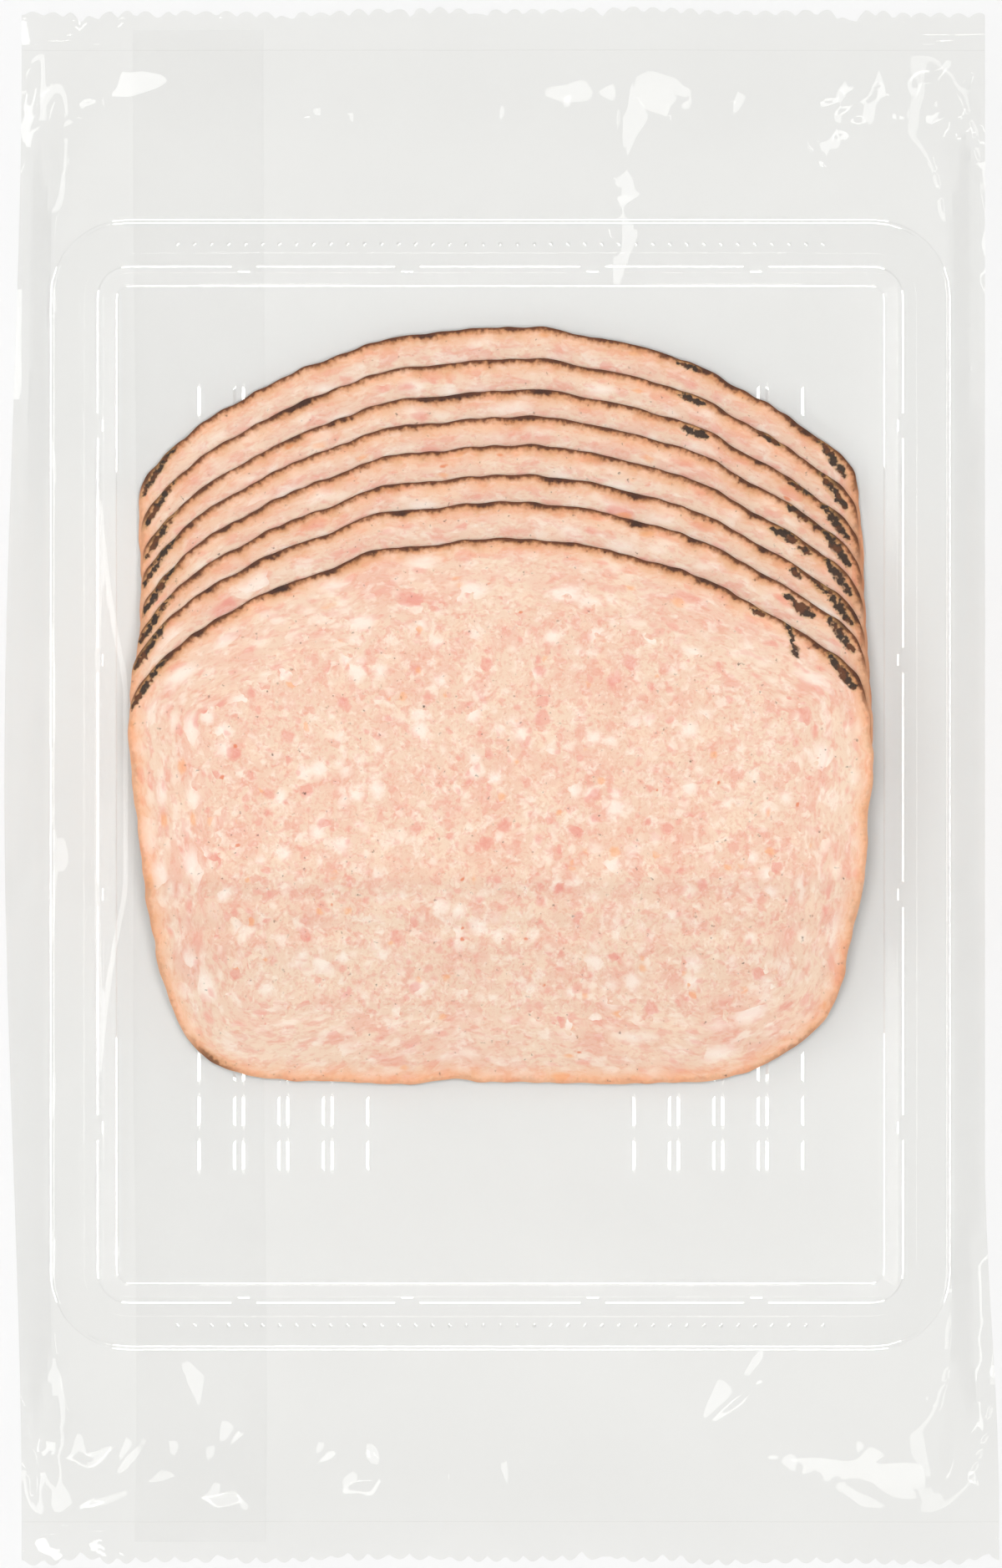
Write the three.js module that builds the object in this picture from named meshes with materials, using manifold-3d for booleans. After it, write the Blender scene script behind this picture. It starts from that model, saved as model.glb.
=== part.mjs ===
// A flow-wrapped pack of sliced meatloaf, lying on its tray with the shown side up.
//
// The sealed film bag is one closed solid. Its form comes from what it holds: the flat floor and the rim
// of a thermoformed tray underneath it, and the crown of the shingled slices in the middle. Both ends are
// crimped fin seals with a serrated edge, and a lengthwise lap seam runs along the underside.
//
// Millimetres. X runs across the pack, Y along it, Z up. The origin is under the middle of the pack.
import * as THREE from "three";
import { mergeVertices } from "three/addons/utils/BufferGeometryUtils.js";
import Module from "manifold-3d";

// The pack, measured over the film.
const PACK_HALF_WIDTH = 74.5; // at the widest place of the side folds
const SEAL_HALF_LENGTH = 115.8; // to the mean line of the serrated edges
const SEAL_DEPTH = 5.6; // crimped band at each end
const FILM_EDGE_Z = 8; // side folds and end seals lie at mid height
const FOLD_THICKNESS = 1; // film folded back on itself along the sides
const CORNER_RADIUS = 1.6;

// The crimped seals.
const BAND_THICKNESS = 0.8;
const CRIMP_LINES = 6;
const CRIMP_HEIGHT = 0.22;
const TOOTH_PITCH = 2.9;
const TOOTH_HEIGHT = 0.6;
const TOOTH_STEPS = 4;
const EDGE_WANDER = 0.45; // the cut isn't quite straight

// The lengthwise seam on the underside.
const SEAM_LEFT = -54.5;
const SEAM_RIGHT = -36.4;
const SEAM_PROUD = 0.45;

// The tray, felt through the film.
const TRAY_CENTRE = new THREE.Vector2(-0.2, 0.2);
const RIM_HALF = new THREE.Vector2(67.2, 84.4);
const RIM_RADIUS = 11.5;
const RIM_WIDTH = 6.9;
const RIM_Z = 17.2;
const RIM_ROUNDING = 0.7;
const FLOOR_HALF = new THREE.Vector2(57.8, 74.3);
const FLOOR_RADIUS = 7;

// The crown: the part of the front slice that lies on all the others.
const CROWN_CENTRE = new THREE.Vector2(-0.3, 0.5);
const CROWN_HALF = new THREE.Vector2(54.5, 15.5);
const CROWN_RADIUS = 9;
const ROOF_RISE = 21.5; // the slice's arched top edge
const CROWN_Z = 19.1;
const CROWN_MIDDLE_Z = 19.5;
const FILM_SAG = 3; // of the film between the crown and either end of the rim

// Steps round each ring of the bag, and between one ring and the next.
const CORNER_STEPS = 8;
const SIDE_STEPS = 26;
const END_STEPS = 36;
const SKIRT_STEPS = 5;
const SPAN_STEPS = 4;
const UNDERSIDE_STEPS = 4;

// Folds that run from the rim to the seals.
const FOLD_DEPTH = 1.6;
const SIDE_FOLD_DEPTH = 0.25;

/** A rounded rectangle of points, anticlockwise, with the same number of points whatever its size. */
function ring(half, radius, centre) {
  const points = [];
  const corners = [[1, -1, -90], [1, 1, 0], [-1, 1, 90], [-1, -1, 180]];
  corners.forEach(([signX, signY, startDegrees], k) => {
    const pivot = new THREE.Vector2(signX * (half.x - radius), signY * (half.y - radius));
    for (let i = 0; i <= CORNER_STEPS; i += 1) {
      const angle = THREE.MathUtils.degToRad(startDegrees + (90 * i) / CORNER_STEPS);
      points.push(new THREE.Vector2(pivot.x + radius * Math.cos(angle), pivot.y + radius * Math.sin(angle)));
    }
    const [nextX, nextY, nextDegrees] = corners[(k + 1) % corners.length];
    const nextAngle = THREE.MathUtils.degToRad(nextDegrees);
    const next = new THREE.Vector2(
      nextX * (half.x - radius) + radius * Math.cos(nextAngle),
      nextY * (half.y - radius) + radius * Math.sin(nextAngle),
    );
    const last = points.at(-1).clone();
    const steps = k % 2 === 0 ? SIDE_STEPS : END_STEPS;
    for (let i = 1; i < steps; i += 1) points.push(last.clone().lerp(next, i / steps));
  });
  return points.map((point) => point.add(centre));
}

/** How far the left and right side folds stand from the middle at a place along the pack. */
function sideFoldX(side, y) {
  const middle = 1 - THREE.MathUtils.smoothstep(Math.abs(y), 0, 0.95 * SEAL_HALF_LENGTH);
  const foot = THREE.MathUtils.smoothstep(-y, 55, 108);
  return side < 0 ? PACK_HALF_WIDTH - 2.6 + 2.6 * middle : PACK_HALF_WIDTH - 2.1 + 2.1 * foot;
}

/** The outline of the bag up to its end seals. */
function outlineRing() {
  const half = new THREE.Vector2(PACK_HALF_WIDTH, SEAL_HALF_LENGTH - SEAL_DEPTH + 1);
  const points = ring(half, CORNER_RADIUS, new THREE.Vector2());
  return points.map((p) => new THREE.Vector2((p.x * sideFoldX(p.x, p.y)) / PACK_HALF_WIDTH, p.y));
}

/** The outline of the crown, with the arched top edge of the front slice. */
function crownRing(scale) {
  return ring(CROWN_HALF, CROWN_RADIUS, CROWN_CENTRE).map((point) => {
    const across = (point.x - CROWN_CENTRE.x) / CROWN_HALF.x;
    const upper = THREE.MathUtils.clamp((point.y - CROWN_CENTRE.y) / CROWN_HALF.y, 0, 1);
    const arched = new THREE.Vector2(point.x, point.y + upper * ROOF_RISE * (1 - across * across));
    return arched.sub(CROWN_CENTRE).multiplyScalar(scale).add(CROWN_CENTRE);
  });
}

/** Sharp folds fanning out over an end of the bag: 0 in a valley, 1 on a ridge. */
function foldShape(x, seed) {
  const wave = Math.sin(0.21 * x + seed) + 0.7 * Math.sin(0.47 * x + 2.1 * seed) + 0.4 * Math.sin(0.83 * x);
  return Math.abs(wave) / 2.1;
}

/** Height added by the folds between the rim and the edge of the bag. */
function foldRelief(edgePoint, share) {
  const atEnd = THREE.MathUtils.smoothstep(Math.abs(edgePoint.y), 100, 109);
  const seed = edgePoint.y > 0 ? 0.6 : 2.4;
  const towardsCorner = 0.35 + 0.65 * THREE.MathUtils.smoothstep(Math.abs(edgePoint.x), 25, 70);
  const ends = atEnd * towardsCorner * FOLD_DEPTH * foldShape(edgePoint.x, seed);
  const sides = (1 - atEnd) * SIDE_FOLD_DEPTH * foldShape(edgePoint.y, 1.3);
  return (ends + sides) * Math.sin(Math.PI * share);
}

/** Height of the film inside the rim: it rests on the crown and sags a little on the way to the rim. */
function spanHeight(x, y) {
  const innerHalf = RIM_HALF.clone().subScalar(RIM_WIDTH);
  const across = Math.min(Math.abs(x - TRAY_CENTRE.x) / innerHalf.x, 1);
  const roofShare = Math.min(Math.abs(x - CROWN_CENTRE.x) / CROWN_HALF.x, 1);
  const roofY = CROWN_CENTRE.y + CROWN_HALF.y + ROOF_RISE * (1 - roofShare * roofShare);
  const footY = CROWN_CENTRE.y - CROWN_HALF.y;
  const pastRoof = (y - roofY) / (TRAY_CENTRE.y + innerHalf.y - roofY);
  const pastFoot = (footY - y) / (footY - TRAY_CENTRE.y + innerHalf.y);
  const beyond = THREE.MathUtils.clamp(Math.max(pastRoof, pastFoot), 0, 1);
  const sideRamp = Math.min(1, (1 - across) / (1 - CROWN_HALF.x / innerHalf.x));
  const lift = (CROWN_Z - RIM_Z) * (1 - beyond) * sideRamp;
  const sag = FILM_SAG * 4 * beyond * (1 - beyond) * (1 - across * across);
  return RIM_Z + lift - sag;
}

/** Rings of 3-D points over the top, from the edge of the bag to the middle of the crown. */
function topRings(outline) {
  const rings = [];
  const rim = ring(RIM_HALF, RIM_RADIUS, TRAY_CENTRE);
  const edgeZ = FILM_EDGE_Z + FOLD_THICKNESS / 2;
  for (let k = 0; k <= SKIRT_STEPS; k += 1) {
    const share = k / SKIRT_STEPS;
    rings.push(outline.map((edgePoint, i) => {
      const place = edgePoint.clone().lerp(rim[i], share);
      const longSpan = THREE.MathUtils.smoothstep(edgePoint.distanceTo(rim[i]), 8, 24);
      const round = Math.sin((Math.PI / 2) * share);
      const rise = THREE.MathUtils.lerp(round, share, 0.35 + 0.5 * longSpan);
      const height = THREE.MathUtils.lerp(edgeZ, RIM_Z - RIM_ROUNDING, rise) + foldRelief(edgePoint, share);
      return new THREE.Vector3(place.x, place.y, height);
    }));
  }
  const inset = (distance) => ring(
    RIM_HALF.clone().subScalar(distance), RIM_RADIUS - Math.min(distance, RIM_WIDTH - 1), TRAY_CENTRE,
  );
  rings.push(inset(RIM_ROUNDING).map((p) => new THREE.Vector3(p.x, p.y, RIM_Z)));
  const innerRim = inset(RIM_WIDTH);
  rings.push(innerRim.map((p) => new THREE.Vector3(p.x, p.y, RIM_Z)));
  const crown = crownRing(1);
  for (let k = 1; k <= SPAN_STEPS; k += 1) {
    const share = k / SPAN_STEPS;
    rings.push(innerRim.map((rimPoint, i) => {
      const place = rimPoint.clone().lerp(crown[i], share);
      return new THREE.Vector3(place.x, place.y, spanHeight(place.x, place.y));
    }));
  }
  for (const scale of [0.93, 0.5]) {
    const height = THREE.MathUtils.lerp(CROWN_MIDDLE_Z, CROWN_Z, scale * scale);
    rings.push(crownRing(scale).map((p) => new THREE.Vector3(p.x, p.y, height)));
  }
  return rings;
}

/** Share of the height left at a place between the edge of the bag (0) and the tray's floor (1). */
function undersideShare(share) {
  return Math.pow(1 - share, 1.15);
}

/** Rings of 3-D points over the underside, from the edge of the bag to the tray's flat floor. */
function undersideRings(outline) {
  const floor = ring(FLOOR_HALF, FLOOR_RADIUS, TRAY_CENTRE);
  const edgeZ = FILM_EDGE_Z - FOLD_THICKNESS / 2;
  const rings = [];
  for (let k = 0; k <= UNDERSIDE_STEPS; k += 1) {
    const share = k / UNDERSIDE_STEPS;
    rings.push(outline.map((edgePoint, i) => {
      const place = edgePoint.clone().lerp(floor[i], share);
      return new THREE.Vector3(place.x, place.y, edgeZ * undersideShare(share));
    }));
  }
  return rings;
}

/** Joins rings into one closed surface. The last ring at either end is closed to its own middle. */
function closedSurface(rings) {
  const count = rings[0].length;
  const positions = rings.flat().flatMap((p) => [p.x, p.y, p.z]);
  const indices = [];
  for (let k = 0; k + 1 < rings.length; k += 1) {
    for (let i = 0; i < count; i += 1) {
      const a = k * count + i;
      const b = k * count + ((i + 1) % count);
      indices.push(a, b, b + count, a, b + count, a + count);
    }
  }
  [[0, true], [rings.length - 1, false]].forEach(([k, underside]) => {
    const middle = rings[k].reduce((sum, p) => sum.add(p), new THREE.Vector3()).divideScalar(count);
    const hub = positions.length / 3;
    positions.push(middle.x, middle.y, underside ? middle.z : CROWN_MIDDLE_Z);
    for (let i = 0; i < count; i += 1) {
      const a = k * count + i;
      const b = k * count + ((i + 1) % count);
      indices.push(...(underside ? [b, a, hub] : [a, b, hub]));
    }
  });
  const geometry = new THREE.BufferGeometry();
  geometry.setAttribute("position", new THREE.Float32BufferAttribute(positions, 3));
  geometry.setIndex(indices);
  return geometry;
}

/** Turns an extrusion drawn along the pack (Y, Z) so that it runs across it (X). */
function acrossPack(shape, width, startX) {
  const geometry = new THREE.ExtrudeGeometry(shape, { depth: width, bevelEnabled: false });
  const turn = new THREE.Matrix4().makeBasis(
    new THREE.Vector3(0, 1, 0), new THREE.Vector3(0, 0, 1), new THREE.Vector3(1, 0, 0),
  );
  return geometry.applyMatrix4(turn).translate(startX, 0, 0);
}

/** The crimped band of one end seal, with ribs on both faces, wider than the pack. */
function crimpedBand(end) {
  const from = SEAL_HALF_LENGTH - SEAL_DEPTH - 0.6;
  const to = SEAL_HALF_LENGTH + 2;
  const steps = 2 * Math.round((CRIMP_LINES * (to - from)) / SEAL_DEPTH);
  const upper = [];
  const lower = [];
  for (let i = 0; i <= steps; i += 1) {
    const y = end * THREE.MathUtils.lerp(from, to, i / steps);
    const offset = (i % 2) * CRIMP_HEIGHT;
    upper.push(new THREE.Vector2(y, FILM_EDGE_Z + BAND_THICKNESS / 2 + offset));
    lower.push(new THREE.Vector2(y, FILM_EDGE_Z - BAND_THICKNESS / 2 + offset));
  }
  const shape = new THREE.Shape([...lower, ...upper.reverse()]);
  return acrossPack(shape, 2 * PACK_HALF_WIDTH + 4, -PACK_HALF_WIDTH - 2);
}

/** A flat plate with the outline of one end seal: rounded teeth on the outer edge. */
function serratedPlate(end) {
  const cornerY = end * SEAL_HALF_LENGTH;
  const left = -sideFoldX(-1, cornerY);
  const right = sideFoldX(1, cornerY);
  const teeth = Math.round((right - left) / TOOTH_PITCH);
  const steps = teeth * TOOTH_STEPS;
  const innerY = end * (SEAL_HALF_LENGTH - SEAL_DEPTH - 2);
  const points = [new THREE.Vector2(left, innerY)];
  for (let i = 0; i <= steps; i += 1) {
    const x = THREE.MathUtils.lerp(left, right, i / steps);
    const tooth = TOOTH_HEIGHT * (Math.abs(Math.sin((Math.PI * i) / TOOTH_STEPS)) - 0.5);
    const wander = EDGE_WANDER * (0.6 * Math.sin(0.055 * x + end) + 0.4 * Math.sin(0.19 * x - 2 * end));
    points.push(new THREE.Vector2(x, end * (SEAL_HALF_LENGTH + tooth + wander)));
  }
  points.push(new THREE.Vector2(right, innerY));
  const plate = new THREE.ExtrudeGeometry(new THREE.Shape(points), { depth: 4, bevelEnabled: false });
  return plate.translate(0, 0, FILM_EDGE_Z - 2);
}

/** The lap seam: a long flat strip that follows the underside from one end seal to the other. */
function lapSeam() {
  const floorY = FLOOR_HALF.y;
  const edgeY = SEAL_HALF_LENGTH - SEAL_DEPTH + 1;
  const underside = [[SEAL_HALF_LENGTH - 1, FILM_EDGE_Z - BAND_THICKNESS / 2]];
  for (let k = 0; k <= UNDERSIDE_STEPS; k += 1) {
    const share = k / UNDERSIDE_STEPS;
    const height = (FILM_EDGE_Z - FOLD_THICKNESS / 2) * undersideShare(share);
    underside.push([THREE.MathUtils.lerp(edgeY, floorY, share), height]);
  }
  const path = [...underside.map(([y, z]) => [-y, z]), ...underside.reverse()];
  const lower = path.map(([y, z]) => new THREE.Vector2(y, Math.max(z - SEAM_PROUD, 0)));
  const upper = path.map(([y, z]) => new THREE.Vector2(y, z + FOLD_THICKNESS / 2));
  const shape = new THREE.Shape([...lower, ...upper.reverse()]);
  return acrossPack(shape, SEAM_RIGHT - SEAM_LEFT, SEAM_LEFT);
}

const wasm = await Module();
wasm.setup();

/** A closed solid of a geometry, for joining and cutting. */
function solidOf(geometry) {
  const bare = geometry.clone();
  bare.deleteAttribute("normal");
  bare.deleteAttribute("uv");
  const merged = mergeVertices(bare, 1e-4);
  return new wasm.Manifold(new wasm.Mesh({
    numProp: 3,
    vertProperties: new Float32Array(merged.attributes.position.array),
    triVerts: new Uint32Array(merged.index.array),
  }));
}

/** The geometry of a joined solid, with flat shading. */
function geometryOf(solid) {
  const mesh = solid.getMesh();
  const geometry = new THREE.BufferGeometry();
  geometry.setAttribute("position", new THREE.BufferAttribute(mesh.vertProperties, 3));
  geometry.setIndex(new THREE.BufferAttribute(mesh.triVerts, 1));
  return geometry;
}

/** The whole sealed bag: the filled body, both end seals and the lap seam, joined. */
function filmPack() {
  const outline = outlineRing();
  let pack = solidOf(closedSurface([...undersideRings(outline).reverse(), ...topRings(outline)]));
  for (const end of [-1, 1]) {
    pack = pack.add(solidOf(crimpedBand(end)).intersect(solidOf(serratedPlate(end))));
  }
  return geometryOf(pack.add(solidOf(lapSeam())));
}

const clearFilm = new THREE.MeshStandardMaterial({ color: 0xecece9, roughness: 0.12, metalness: 0 });
const pack = new THREE.Mesh(filmPack(), clearFilm);
pack.name = "film_pack";

const group = new THREE.Group();
group.add(pack);

export default group;
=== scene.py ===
"""A flow-wrapped pack of sliced meatloaf, lying on a white table and seen from straight above.

The clear film bag of the frame is replaced by what it stands for: a film bag with crimped ends and a lap
seam, the clear tray inside it, and eight shingled slices. Sizes in millimetres are multiplied by MM.
"""

import math
import random

import bmesh
import bpy
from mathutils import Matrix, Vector, kdtree, noise


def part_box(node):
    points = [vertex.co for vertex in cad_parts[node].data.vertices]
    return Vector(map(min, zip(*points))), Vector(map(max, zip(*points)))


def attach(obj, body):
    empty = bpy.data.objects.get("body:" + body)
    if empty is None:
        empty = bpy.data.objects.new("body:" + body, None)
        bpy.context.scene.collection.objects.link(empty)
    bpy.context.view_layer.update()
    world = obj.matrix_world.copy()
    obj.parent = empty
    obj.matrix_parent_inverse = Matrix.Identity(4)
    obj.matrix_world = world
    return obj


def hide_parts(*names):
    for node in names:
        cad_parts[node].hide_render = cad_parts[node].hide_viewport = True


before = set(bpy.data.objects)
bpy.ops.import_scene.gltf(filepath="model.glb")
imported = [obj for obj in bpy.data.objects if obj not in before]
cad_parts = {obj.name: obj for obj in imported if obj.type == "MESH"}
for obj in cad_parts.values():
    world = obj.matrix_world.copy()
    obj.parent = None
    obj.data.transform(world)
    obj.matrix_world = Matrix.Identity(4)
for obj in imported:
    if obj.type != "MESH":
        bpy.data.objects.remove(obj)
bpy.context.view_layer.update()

MM = 0.001
_, high_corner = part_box("film_pack")
PACK_HIGH = Vector(high_corner) / MM

# The photograph: 1200 x 1877 pixels, straight down, 0.125 mm to a pixel.
PHOTO_HEIGHT_MM = 1877 * 0.125
PHOTO_MIDDLE = Vector((-0.1, 0.3))
CAMERA_HEIGHT = 3.0
FOCUS_Z = 10

# Strip lights stand twice as far from straight up as the tray's chamfers tilt, so that these mirror them.
CHAMFER_TILT = math.radians(31)
STRIP_TILT = 2 * CHAMFER_TILT
FAINT_TILT = math.radians(33.5)  # of the chamfers that aren't polished, and gleam only in part
KEY_TILT = math.radians(27)
LIGHT_DISTANCE = 2.2

# Film bag. It lies on the rim, and on the crown: the part of the front slice that lies on all the others.
EDGE_X = PACK_HIGH.x
DRAWN_IN_LEFT = 2.6  # how far the side folds draw in from that, at most
DRAWN_IN_RIGHT = 2.1
BAG_END_Y = 110.2
FILM_EDGE_Z = 8
FILM_RIM_Z = 17.25
CROWN_HALF = Vector((54.5, 16))
CROWN_Z = 19.1
ROOF_RISE = 21.5
RAMP_SLOPE = 0.425  # of the film beside the crown, down to the rim: too steep to gleam
FILM_SAG = 3
FLANGE_SHARE = 0.4  # of the way from a side fold to the tray
FLANGE_RISE = 0.143  # of the height between them
BAG_COLUMNS = 200
BAG_ROWS = 236
CALM_HALF = 58  # the smooth film over the slices
CALM_ROWS = 0.27  # the share of the rows that it has
BASE_GAP = 0.2
FILM_THICKNESS = 0.04  # by which the two layers stay apart where they meet
CORNER_ROUNDNESS = 3.0  # of the lines of equal height, as the exponent of a superellipse
# Folds that stand out, each a kite of four facets: where its ridge starts and ends, how far along it peaks,
# its width on the left and right, and its height. Millimetres.
FOLDS = [
    # The long spike beside the middle of the far end, and what hangs on it.
    (18.4, 108.8, 17.9, 91.5, 0.5, 3.5, 0.9, -0.70), (17.9, 94, 16.4, 85.5, 0.6, 4.4, 0.9, -0.85),
    (17.3, 87.4, 15.9, 69.2, 0.25, 4.2, 1.0, -0.75), (25.9, 108.6, 28.4, 102.4, 0.6, 1.8, 0.8, -0.36),
    (13.2, 86, 15.4, 90.4, 0.5, 0.5, 0.9, 0.16), (22.4, 93.5, 20.4, 88.0, 0.5, 1.6, 0.8, -0.3),
    # Far end, right of the middle.
    (34.2, 106.4, 34.0, 98.3, 0.4, 3.0, 0.8, -0.46), (37.6, 110, 38.2, 105, 0.5, 1.1, 0.7, -0.28),
    (42.6, 109.4, 40.9, 103.6, 0.5, 1.5, 0.8, -0.36), (41.5, 102.8, 49.6, 91, 0.5, 3.4, 1.2, -0.55),
    (46.8, 100.2, 54.4, 104.6, 0.6, 2.8, 1.2, 0.42), (55.8, 108.8, 54.8, 102.4, 0.5, 2.0, 0.8, -0.50),
    (57.3, 108.4, 59.6, 106.8, 0.4, 0.7, 0.5, 0.2), (56.5, 86.3, 67.6, 89.2, 0.8, 1.8, 0.9, 0.36),
    (68.2, 108.2, 65.0, 98.4, 0.45, 3.2, 1.2, -0.75), (71.6, 108.5, 69.4, 100.6, 0.5, 2.4, 1.6, -0.60),
    (68.6, 100.4, 71.8, 90.0, 0.4, 2.6, 1.2, -0.65), (70.2, 78, 72.4, 73.6, 0.5, 1.4, 1.0, -0.4),
    (68.9, 71.2, 72.4, 68.8, 0.5, 1.2, 1.0, 0.4),
    # Far end, left of the middle.
    (-50, 101, -52, 104.5, 0.5, 0.5, 0.9, 0.2), (-40.5, 104, -41, 101, 0.5, 0.5, 0.8, 0.18),
    (-71.5, 90.5, -62, 92, 0.3, 1.0, 1.4, 0.25),
    # Left side, over the tray.
    (-72, 3, -67.5, 7.5, 0.5, 2.2, 1.4, 0.3), (-74, -14, -67, -13, 0.4, 1.2, 1.0, 0.25),
    (-66, -57.6, -51.2, -51.4, 0.55, 3.2, 1.4, 0.5), (-52.2, -64.6, -39.4, -57.2, 0.6, 3.2, 1.4, 0.5),
    (-62.5, 47, -48, 56, 0.6, 3.6, 1.2, 0.45),
    # Near end, left.
    (-72.4, -96.4, -65.6, -96.9, 0.6, 0.9, 2.6, -0.5), (-71.6, -100.6, -70.2, -107.4, 0.5, 1.8, 1.0, -0.42),
    (-49.6, -84.6, -45.2, -94.6, 0.5, 3.4, 1.0, -0.55), (-43, -101, -36.8, -92.6, 0.6, 3.4, 1.2, 0.5),
    (-58, -103, -51, -94, 0.5, 3.0, 1.2, 0.42), (-54, -92, -52.5, -104, 0.5, 1.4, 0.8, -0.25),
    # Near end, right.
    (28.8, -97, 39.6, -87.2, 0.6, 4.2, 1.2, 0.62), (30, -99.2, 62, -102, 0.5, 1.1, 0.8, 0.2),
    (50, -91.5, 58.5, -93, 0.5, 2.2, 1.0, 0.3), (62, -95, 68, -88, 0.5, 2.8, 1.0, 0.42),
    (51, -104, 60, -109, 0.4, 1.3, 2.2, 0.35), (61, -104.5, 73, -108.5, 0.35, 2.8, 1.2, -0.5),
    (68.6, -94.5, 72.6, -108, 0.7, 3.0, 1.2, -0.62), (28, -103.5, 33, -99, 0.5, 1.2, 0.9, 0.2),
]

# Small crumples, strewn at random: how many, two corners of their rectangle, how long they are, how steep,
# which way they run in degrees, and how far they stray from that.
CRUMPLE_ZONES = [
    (30, (62, 92), (74, 110), (3, 9), (0.14, 0.36), 60, 50),
    (16, (48, 98), (66, 109), (3, 8), (0.12, 0.3), -75, 35),
    (34, (68, 52), (74.5, 94), (2, 7), (0.14, 0.36), 60, 60),
    (10, (69, -108), (74, -70), (3, 8), (0.1, 0.3), 90, 25),
    (24, (-73, -109), (-62, -96), (3, 9), (0.12, 0.34), 35, 50),
    (10, (-62, -109), (-38, -99), (3, 8), (0.15, 0.35), 15, 30),
    (8, (-73, 88), (-64, 106), (2, 6), (0.12, 0.3), 10, 40),
    (10, (-74.5, -20), (-68, 10), (3, 8), (0.1, 0.35), 60, 50),
    (16, (-40, 101), (48, 108), (3, 9), (0.06, 0.2), -85, 30),
    (16, (-30, -108), (62, -101), (3, 10), (0.06, 0.2), 75, 35),
    (12, (-60, 84), (60, 100), (10, 24), (0.05, 0.1), 80, 40),
    (12, (-60, -102), (60, -86), (10, 24), (0.05, 0.1), 75, 50),
    (9, (-60.5, -70), (-56.5, -62), (3, 5), (0.08, 0.2), 4, 8),
]
CRUMPLE_SEED = 7

# End seals.
SEAL_EDGE_Y = 115.8
TOOTH_PITCH = 2.9
TOOTH_HEIGHT = 1.2
CRIMP_PITCH = 0.93
CRIMP_DEPTH = 0.06
CRIMP_DEPTH_CORNER = 0.085
SEAL_HALF_THICKNESS = 0.06
SEAL_ROWS = 28
SEAL_COLUMNS_PER_TOOTH = 6
SEAL_DENTS = 9
SEAL_SEED = 11

# Lap seam along the underside.
SEAM_X = (-55.1, -35.5)
SEAM_COLUMNS = 8
SEAM_THICKNESS = 0.06
SEAM_GAP = 0.04  # below the bag
SEAM_PAST_BAG = 3  # how far it runs on into each end seal

# Tray.
TRAY_MIDDLE = Vector((-0.2, 0.2))
RIM_HALF = Vector((67.2, 84.4))
RIM_RADIUS = 11.5
RIM_WIDTH = 6.95
RIM_Z = 17.0
FLOOR_HALF = Vector((57.6, 74.8))
FLOOR_Z = 0.7
SHEET_THICKNESS = 0.38
WALL_DROP = RIM_Z - FLOOR_Z - 0.3
UPPER_WALL_SHARE = 0.38  # of the drop, down to the ledge that runs round the wall
BEAD_WIDTH = 0.13  # each flank of the rim's raised edge
BEAD_TOP_WIDTH = 0.37
STEP_IN_RIM = 4.4  # from the raised edge to the faint chamfer on the rim
FAINT_WIDTH = 0.06
WALL_TOP_WIDTH = 0.22
WALL_FOOT_WIDTH = 0.15
LUGS_ALONG_X = (-38.5, -14.1, 13.6, 38.0)
LUGS_ALONG_Y = (53.8, 18.8, -16.2, -51.0)
LUG_HALF = 1.9
LUG_NOSE_HALF = 0.85
LUG_DEPTH = 0.75
DOT_COUNT = 39
DOT_PITCH = 2.54
DOT_ROW_Y = 80.75
DOT_RADIUS = 0.32
DOT_HEIGHT = 0.15
PAD_GROOVE = 0.8
PAD_PITCH = 6.66
PAD_RISE = 0.7
PAD_COLUMNS = 4
PAD_ROWS = 18
PAD_GROUP_LEFT = (-46.1, 19.2)
PAD_GROUP_LOW = -58.8
PAD_SQUEEZE = 0.83  # of a pad's length, so that it slopes more gently towards its ends than its sides
PAD_CORNER_RADIUS = 0.65
PAD_TOP_RISE = 0.25  # the last part of PAD_RISE, which is a gentle slope
POLISH_TOLERANCE = 0.012  # in the upward part of a normal
INWARD_FLANK = -20  # a normal's X times the distance from the tray's middle, on the bead's inner side flanks

# Slices.
SLICE_THICKNESS = 2.15
SLICE_GAP = 0.05
SLICE_STEPS = 140
SLICE_LAYERS = 3
CURVE_STEPS = 640
FLOW_RADIUS = 52 * 0.45  # of the ring that the drawn-out pattern is wound on: less than the slice's own
FLOW_SHIFT = 37  # from one slice to the next, so that no two have the same pattern
STACK_Z = FLOOR_Z + PAD_RISE - 0.05
SLICE_HALF_Y = 40.9
SLOPE_REACH = 5.5  # how far past a lower slice's edge the slices above it start to rise over it
# One slice, from the top of its arched roof round to the right. Millimetres from its middle.
SLICE_OUTLINE = [
    (0, 40.9), (10, 40.1), (20, 38.1), (30, 35.0), (40, 29.6), (48, 24.8), (52.6, 21.3), (54.6, 17.5),
    (55.4, 8.5), (55.0, -3), (53.9, -12), (52.4, -20), (50.7, -27), (47.4, -32.6), (41, -37.2), (32, -40.3),
    (20, -40.9), (0, -40.3), (-20, -40.8), (-33, -40.4), (-42.5, -37.7), (-47.8, -32.6), (-51.2, -22.5),
    (-53.6, -8), (-55.0, 5), (-55.7, 14), (-54.3, 18.5), (-48.5, 24.3), (-40, 30), (-30, 34.6), (-20, 38.2),
    (-10, 40.0),
]
# Each slice from the bottom of the stack to the top: its middle, and its width beside the outline's.
SLICES = [
    (-0.1, 28.1, 0.978), (0.1, 23.3, 0.975), (0.3, 18.6, 0.976), (0.3, 14.6, 0.979), (0.4, 10.3, 0.981),
    (0.2, 5.8, 0.988), (-0.1, 1.7, 0.997), (-0.2, -3.8, 1.0),
]
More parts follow.
